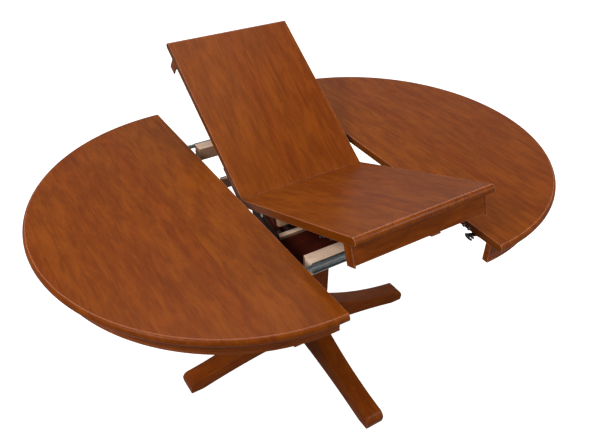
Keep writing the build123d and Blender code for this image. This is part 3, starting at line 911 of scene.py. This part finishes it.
@dataclass
class BearingFrame:
    """Dark bearers on the post, and the pale runners across them."""

    shop: Workshop

    def from_box(self, node: str, grain: Grain, arris: float, seed: float) -> None:
        """A node that is one plain board.

        Args:
            node: the CAD node.
            grain: axis of the grain.
            arris: edge radius in millimetres.
            seed: moves the figure to another part of the tree.
        """
        shape = Shape()
        board(shape, *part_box(node), grain, arris, seed)
        self.shop.fit(shape.finish(node + "_board"), node)

    def pairs(self, node: str, axis: int, width: float, grain: Grain, arris: float) -> None:
        """A node that is two equal boards at the ends of its box along an axis.

        Args:
            node: the CAD node.
            axis: 0, 1 or 2, across which the two lie.
            width: of each board along that axis, in metres.
            grain: axis of the grain.
            arris: edge radius in millimetres.
        """
        low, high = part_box(node)
        shape = Shape()
        for side in (0, 1):
            near, far = Vector(low), Vector(high)
            if side:
                near[axis] = high[axis] - width
            else:
                far[axis] = low[axis] + width
            board(shape, near, far, grain, arris, seed=side + 2)
        self.shop.fit(shape.finish(node + "_boards"), node)

    def bearers(self) -> None:
        """Two cranked beams: low in the middle, stepped up at the ends under deck and runners."""
        low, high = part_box("bearers")
        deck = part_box("front_deck")[0].z
        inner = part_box("rail_rear_inner")
        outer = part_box("rail_rear_outer")
        width, lip = 0.045, 0.010
        low_half, raised_half, heel_half, raised = 0.150, 0.322, 0.337, 0.660
        crank_half, middle_half, middle_top = 0.167, 0.138, 0.628
        half = [
            (low_half, low.z), (raised_half, raised), (heel_half, raised),
            (high.y, outer[0].z - lip), (high.y, outer[0].z), (outer[0].y, outer[0].z),
            (outer[0].y, deck), (inner[1].y, deck), (inner[1].y, inner[0].z),
            (crank_half, inner[0].z), (middle_half, middle_top),
        ]
        section = eased(np.array(half + [(-y, z) for y, z in reversed(half)]), 1.5 * MM)
        shape = Shape()
        for seed, x in enumerate((low.x, high.x - width)):
            prism(shape, section, x, x + width, 1.5, seed)
        self.shop.fit(shape.finish("cranked_bearers"), "bearers")

    def build(self) -> None:
        """Plate, bearers, deck and runners."""
        self.from_box("post_top_plate", Grain.X, 3, 4)
        self.bearers()
        self.from_box("front_deck", Grain.X, 1.2, 5)
        runners = ("rail_front_outer", "rail_rear_outer", "rail_front_inner", "rail_rear_inner")
        for seed, node in enumerate(runners):
            self.from_box(node, Grain.X, 1.5, seed * 1.7)
        for node in ("frame_screws", "pivot_brackets", "pivot_pins"):
            self.shop.soften(node, 0.3)


@dataclass
class Slides:
    """Ball-bearing slides: three nested channels each, one above the other on both sides.

    Each section gives where it starts and ends outwards from the runner, its half height,
    its wall, and whether it opens away from the runner, all in millimetres.
    """

    shop: Workshop
    half: float = 0.212
    sections: dict = field(
        default_factory=lambda: {
            "outer": (0, 10.0, 7.6, 1.2, True),
            "middle": (2.2, 10.4, 5.8, 1.2, True),
            "inner": (4.4, 11.5, 4.0, 1.2, False),
        }
    )

    def section(self, kind: str, side: int, level: float) -> np.ndarray:
        """A channel's section: a square C with eased corners.

        Args:
            kind: outer, middle or inner.
            side: -1 at the front, 1 at the rear.
            level: height of the slide.

        Returns:
            The corners in (y, z), anticlockwise.
        """
        start, end, tall, wall, away = self.sections[kind]
        web, lip = (start, end) if away else (end, start)
        floor = web + (wall if away else -wall)
        corners = [(web, -tall), (lip, -tall), (lip, wall - tall), (floor, wall - tall),
                   (floor, tall - wall), (lip, tall - wall), (lip, tall), (web, tall)]
        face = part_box("rail_rear_outer")[1].y
        points = np.array([(side * (face + y * MM), level + z * MM) for y, z in corners])
        return eased(anticlockwise(points), 0.7 * MM)

    def members(self, node: str, kind: str, middle: float, levels: tuple) -> None:
        """The channels of one CAD node.

        Args:
            node: the CAD node.
            kind: outer, middle or inner.
            middle: X of their middle.
            levels: height of each slide they belong to.
        """
        shape = Shape()
        for side in (-1, 1):
            for level in levels:
                prism(shape, self.section(kind, side, level), middle - self.half, middle + self.half, 0.3)
        self.shop.fit(shape.finish(node + "_rolled", sharp=50), node)

    def screws(self, name: str, level: float, places: tuple) -> None:
        """Screw heads seated in the fixed channels.

        A head is a flat dome: rings of radius r * cos(angle) raised by h * sin(angle), where
        h is what is left between the fixed channel's floor and the middle channel.

        Args:
            name: of the piece.
            level: height of the slide.
            places: (distance along the channel, radius in millimetres) of each head.
        """
        start, wall = self.sections["outer"][0], self.sections["outer"][3]
        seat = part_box("rail_rear_outer")[1].y + (start + wall) * MM - 0.05 * MM
        room = (self.sections["middle"][0] - wall) * MM
        rise = np.radians(np.linspace(0, 80, 5))
        turn = np.linspace(0, 2 * math.pi, 20, endpoint=False)
        heads = Shape()
        for side in (-1, 1):
            for along, radius in places:
                rings = np.stack([
                    np.stack([
                        along + radius * MM * np.cos(a) * np.cos(turn) * side,
                        np.full(len(turn), side * (seat + room * np.sin(a))),
                        level + radius * MM * np.cos(a) * np.sin(turn),
                    ], -1)
                    for a in rise
                ])[:, ::-1]
                heads.loft(rings, rings)
        piece = heads.finish(name)
        self.shop.finishes.dress(piece, "zinc_steel")
        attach(piece, "pedestal")

    def build(self) -> None:
        """All the members at rest, and what is seated in them."""
        left, right = 0.726, 0.710
        self.members("slide_outers", "outer", 0, (left, right))
        for name, sign, level in (("left", -1, left), ("right", 1, right)):
            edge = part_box("right_top")[0].x if sign > 0 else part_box("left_top")[1].x
            self.members(name + "_slide_middles", "middle", edge / 2, (level,))
            self.members(name + "_slide_inners", "inner", edge, (level,))
            head_radius = 2.6
            places = tuple((sign * d, head_radius) for d in (-0.195, -0.178, -0.120, -0.060))
            self.screws(name + "_slide_screws", level, places)


@dataclass
class HalfTop:
    """One half of the round top, with its apron and everything that slides with it."""

    shop: Workshop
    name: str
    sign: int
    radius: float = 0.6
    apron_outer: float = 0.562
    apron_thick: float = 0.019
    segments: int = 220

    @property
    def edge(self) -> float:
        """Where the straight edge stands along X."""
        low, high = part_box(self.name + "_top")
        return high.x if self.sign < 0 else low.x

    def slab(self) -> None:
        """The top itself.

        The D-shaped outline, an arc of radius R - setback closed by the straight edge, is
        carried up the thumbnail profile, which gives each level's setback and height.
        """
        low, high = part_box(self.name + "_top")
        setback, height = thumbnail_profile(high.z - low.z)
        angle = np.linspace(-math.pi / 2, math.pi / 2, self.segments)
        soft = 0.0007 * np.clip(1 - np.minimum(height, (high.z - low.z) - height) / 0.0007, 0, 1)
        rings = []
        for gap, z, back in zip(setback, height, soft):
            r = self.radius - gap
            x = np.maximum(r * np.cos(angle), back)
            arc = np.stack([x, r * np.sin(angle)], -1)
            chord_y = np.linspace(1, -1, 42)[1:-1] * r
            chord = np.stack([np.full(len(chord_y), back), chord_y], -1)
            ring = np.concatenate([arc, chord])
            rings.append(np.column_stack([ring, np.full(len(ring), low.z + z)]))
        rings = np.array(rings)
        rings[..., 0] = self.edge + self.sign * rings[..., 0]
        if self.sign < 0:
            rings = rings[:, ::-1]
        shape = Shape()
        timber = rings * np.array([self.sign, 1, 1]) - np.array([self.sign * self.edge, 4 * self.sign, 0])
        shape.loft(rings, timber)
        piece = shape.finish(self.name + "_half_top", sharp=24)
        if self.sign < 0:
            self.shop.drill(piece, pin_sockets(self.edge))
        self.shop.fit(piece, self.name + "_top")

    def apron(self, place: str, start: float) -> None:
        """One bent segment of the apron: a section with a bead at its foot, swept 60 degrees.

        Point (angle, s) is the centre plus (cos, sin)(angle) times the section's radius at s.

        Args:
            place: front, side or rear.
            start: where the segment starts, in degrees.
        """
        node = f"{self.name}_apron_{place}"
        low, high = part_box(node)
        outer, thick, arris = self.apron_outer, self.apron_thick, 0.0012
        bead = np.radians(np.linspace(-90, 90, 9))
        radii = [outer - thick, outer - thick, outer - thick + arris, outer - arris]
        levels = [high.z, low.z + arris, low.z, low.z]
        radii += list(outer + 0.002 * np.cos(bead))
        levels += list(low.z + 0.003 + 0.003 * np.sin(bead))
        radii += [outer - 0.0008, outer, outer]
        levels += [low.z + 0.0063, low.z + 0.0075, high.z]
        radii, levels = np.array(radii)[::-1], np.array(levels)[::-1]
        angle = np.radians(np.linspace(start + 0.01, start + 59.99, 64))
        rings = np.stack(
            [
                self.edge + radii[None] * np.cos(angle)[:, None],
                radii[None] * np.sin(angle)[:, None],
                np.broadcast_to(levels[None], (len(angle), len(levels))),
            ],
            -1,
        )
        along = np.broadcast_to((angle * outer)[:, None], rings.shape[:2])
        timber = np.stack([rings[..., 2], along, np.broadcast_to(radii[None], rings.shape[:2])], -1)
        shape = Shape()
        shape.loft(rings[::-1], timber[::-1])
        self.shop.fit(shape.finish(node + "_bent"), node)

    def build(self) -> None:
        """All the pieces of this half.

        A batten is given by its near and far sides from the straight edge and its half length.
        """
        self.slab()
        starts = {"rear": 30, "side": -30, "front": -90}
        if self.sign < 0:
            starts = {"rear": 90, "side": 150, "front": 210}
        for place, start in starts.items():
            self.apron(place, start)
        frame_boards = BearingFrame(self.shop)
        frame_boards.pairs(self.name + "_side_rails", 1, 0.020, Grain.X, 2)
        low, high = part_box(self.name + "_battens")
        shape = Shape()
        inner_batten, outer_batten = (0.235, 0.295, 0.380), (0.420, 0.470, 0.240)
        for near, far, half in (inner_batten, outer_batten):
            x = sorted((self.edge + self.sign * near, self.edge + self.sign * far))
            board(shape, (x[0], -half, low.z), (x[1], half, high.z), Grain.Y, 2, near)
        self.shop.fit(shape.finish(self.name + "_batten_boards"), self.name + "_battens")
        self.shop.soften(self.name + "_top_screws", 0.3)


@dataclass
class Leaf:
    """One half of the folding leaf, drawn flat and turned to where it is caught."""

    shop: Workshop
    name: str
    side: int
    width: float = 0.449
    half: float = 0.6
    top: float = 0.76
    thick: float = 0.024
    split: float = 0.0002

    @property
    def placed(self) -> Matrix:
        """From flat in the table top to the rest pose, worked out from the joints.

        The front half turns about its pins by its flat angle; the rear half turns about the
        hinge line by what is left of the centre hinge's travel.
        """
        pivot = joint("leaf_front_pivot")
        hinge = joint("leaf_centre_hinge")
        flat = Matrix.Translation((0, 0, self.top))
        if self.side < 0:
            to_pin = Matrix.Translation(Vector(pivot["pos_m"]))
            return to_pin @ Matrix.Rotation(-math.radians(pivot["range_deg"][1]), 4, "X") @ to_pin.inverted()
        tilt = -math.radians(hinge["range_deg"][0] + pivot["range_deg"][1])
        return Matrix.Translation(Vector(hinge["pos_m"])) @ Matrix.Rotation(tilt, 4, "X") @ flat.inverted()

    def panel(self) -> None:
        """The panel: its rectangular outline carried up the thumbnail profile.

        The setback acts on the nose edge; the other three edges get a small arris.
        """
        setback, height = thumbnail_profile(self.thick)
        soft = 0.0008 * np.clip(1 - np.minimum(height, self.thick - height) / 0.0008, 0, 1)
        s = np.linspace(0, 1, 24)
        rings = []
        for gap, z, back in zip(setback, height, soft):
            x = self.width / 2 - back
            near, far = self.split + back, self.half - gap
            edges = [
                np.stack([np.full(24, x), near + (far - near) * s], -1)[:-1],
                np.stack([x - 2 * x * s, np.full(24, far)], -1)[:-1],
                np.stack([np.full(24, -x), far + (near - far) * s], -1)[:-1],
                np.stack([-x + 2 * x * s, np.full(24, near)], -1)[:-1],
            ]
            ring = np.concatenate(edges)
            rings.append(np.column_stack([ring, np.full(len(ring), self.top - self.thick + z)]))
        rings = np.array(rings)
        rings[..., 1] *= self.side
        if self.side < 0:
            rings = rings[:, ::-1]
        shape = Shape()
        shape.loft(rings, rings + np.array([0.2245, 5 + 0.7 * self.side, 0]))
        node = f"leaf_{self.name}_panel"
        piece = shape.finish(node + "_lacquered", self.placed, sharp=24)
        self.shop.fit(self.shop.drill(piece, pin_sockets(self.width / 2, self.placed)), node)

    def boards(
        self, part: str, spans: tuple, near: float, far: float, deep: float, grain: Grain, arris: float
    ) -> None:
        """Boards under the panel.

        Args:
            part: the rest of the CAD node's name.
            spans: (low, high) along X of each board, in millimetres.
            near: distance from the hinge line, in millimetres.
            far: the same, of the far face.
            deep: depth below the panel.
            grain: axis of the grain.
            arris: edge radius.
        """
        node = f"leaf_{self.name}_{part}"
        under = self.top - self.thick
        y = sorted((self.side * near * MM, self.side * far * MM))
        shape = Shape()
        for low, high in spans:
            near_corner = (low * MM, y[0], under - deep * MM)
            far_corner = (high * MM, y[1], under)
            board(shape, near_corner, far_corner, grain, arris, 1 + low * 0.01)
        self.shop.fit(shape.finish(node + "_made", self.placed), node)

    def build(self) -> None:
        """All the pieces of this half of the leaf.

        The boards' spans, distances from the hinge line and depths are in millimetres.
        """
        self.panel()
        self.boards("apron", ((-209.5, 219.5),), 543, 562, 61, Grain.X, 1.5)
        self.boards("end_caps", ((-214.5, -209.5), (219.5, 224.5)), 530.5, 563.5, 66, Grain.Z, 1.5)
        self.boards("batten", ((-204, 204),), 165, 183, 36, Grain.X, 1.5)
        self.boards("blocks", ((-205, -185), (185, 205)), 10, 150, 56, Grain.Y, 4)
        for part in ("hinge_cups", "lock_plates", "hook"):
            self.shop.soften(f"leaf_{self.name}_{part}", 0.4)


def build_pull(shop: Workshop, leaf: Leaf) -> None:
    """The small finger pull under the front apron of the leaf.

    Args:
        shop: finishes the piece.
        leaf: the front half of the leaf.
    """
    apron_depth = 0.061
    under = leaf.top - leaf.thick - apron_depth
    shape = Shape()
    board(shape, (0.029, -0.562, under - 0.005), (0.061, -0.546, under), Grain.X, 2)
    shop.fit(shape.finish("finger_pull", leaf.placed), "leaf_pull")


@dataclass
class Studio:
    """Plain pale floor, white surroundings, soft lights and the camera."""

    place: tuple = (-0.97007, -1.46400, 1.85743)
    yaw: float = 33.117
    pitch: float = 36.304
    roll: float = 1.5481
    lens: float = 39.05

    def camera(self) -> None:
        """The camera, from its yaw, downward pitch and roll."""
        yaw, pitch, roll = (math.radians(a) for a in (self.yaw, self.pitch, self.roll))
        right = Vector((math.cos(yaw), -math.sin(yaw), 0))
        ahead = Vector((math.sin(yaw) * math.cos(pitch), math.cos(yaw) * math.cos(pitch), -math.sin(pitch)))
        up = right.cross(ahead)
        turned = right * math.cos(roll) + up * math.sin(roll)
        raised = up * math.cos(roll) - right * math.sin(roll)
        camera = bpy.data.objects.new("camera", bpy.data.cameras.new("camera"))
        camera.data.lens = self.lens
        camera.data.sensor_width = 36
        basis = Matrix((turned, raised, -ahead)).transposed().to_4x4()
        camera.matrix_world = Matrix.Translation(self.place) @ basis
        bpy.context.scene.collection.objects.link(camera)
        bpy.context.scene.camera = camera

    def light(self, name: str, place: tuple, target: tuple, size: float, power: float) -> None:
        """A square soft light aimed at a point.

        Args:
            name: of the light.
            place: where it stands, in metres.
            target: the point it is aimed at.
            size: its side.
            power: in watts.
        """
        lamp = bpy.data.lights.new(name, "AREA")
        lamp.size = size
        lamp.energy = power
        holder = bpy.data.objects.new(name, lamp)
        aim = (Vector(target) - Vector(place)).to_track_quat("-Z", "Y")
        holder.matrix_world = Matrix.Translation(place) @ aim.to_matrix().to_4x4()
        bpy.context.scene.collection.objects.link(holder)

    def build(self) -> None:
        """Everything round the table."""
        self.camera()
        self.light("key", (-2.6, -0.9, 2.9), (-0.2, 0, 0.7), 0.9, 95)
        self.light("fill", (1.8, -2.6, 2.6), (0.2, 0, 0.6), 0.9, 55)
        self.light("top", (0.3, 0.8, 3.6), (0, 0, 0.7), 2.4, 70)
        world = bpy.data.worlds.new("surroundings")
        world.use_nodes = True
        graph = Graph(world.node_tree)
        background = world.node_tree.nodes["Background"]
        seen = graph.add("ShaderNodeLightPath").outputs["Is Camera Ray"]
        background.inputs["Color"].default_value = (1, 1, 1, 1)
        graph.feed(background.inputs["Strength"], graph.math("MULTIPLY_ADD", seen, 0.45, 0.6))
        bpy.context.scene.world = world
        bpy.context.scene.view_settings.view_transform = "Standard"
        mesh = bpy.data.meshes.new("floor")
        reach = 30
        corners = [(-reach, -reach, 0), (reach, -reach, 0), (reach, reach, 0), (-reach, reach, 0)]
        mesh.from_pydata(corners, [], [(0, 1, 2, 3)])
        floor = bpy.data.objects.new("floor", mesh)
        bpy.context.scene.collection.objects.link(floor)
        material, graph, shader = principled("studio_floor")
        shader.inputs["Base Color"].default_value = (0.35, 0.34, 0.33, 1)
        shader.inputs["Roughness"].default_value = 0.9
        shader.inputs["Emission Color"].default_value = (1, 1, 1, 1)
        seen = graph.add("ShaderNodeLightPath").outputs["Is Camera Ray"]
        graph.feed(shader.inputs["Emission Strength"], seen)
        mesh.materials.append(material)


def main() -> None:
    """Builds every sub-assembly in order and reports it."""
    logging.basicConfig(level=logging.INFO, format="%(message)s")
    finishes = Finishes()
    finishes.build()
    shop = Workshop(finishes)
    Studio().build()
    Pedestal(shop).build()
    BearingFrame(shop).build()
    Slides(shop).build()
    for name, sign in (("left", -1), ("right", 1)):
        HalfTop(shop, name, sign).build()
    hardware = ("alignment_pins", "left_keepers", "right_lock_plates", "right_hook_front", "right_hook_rear")
    for node in hardware:
        shop.soften(node, 0.4)
    front = Leaf(shop, "front", -1)
    front.build()
    Leaf(shop, "rear", 1).build()
    build_pull(shop, front)


if __name__ == "__main__":
    main()
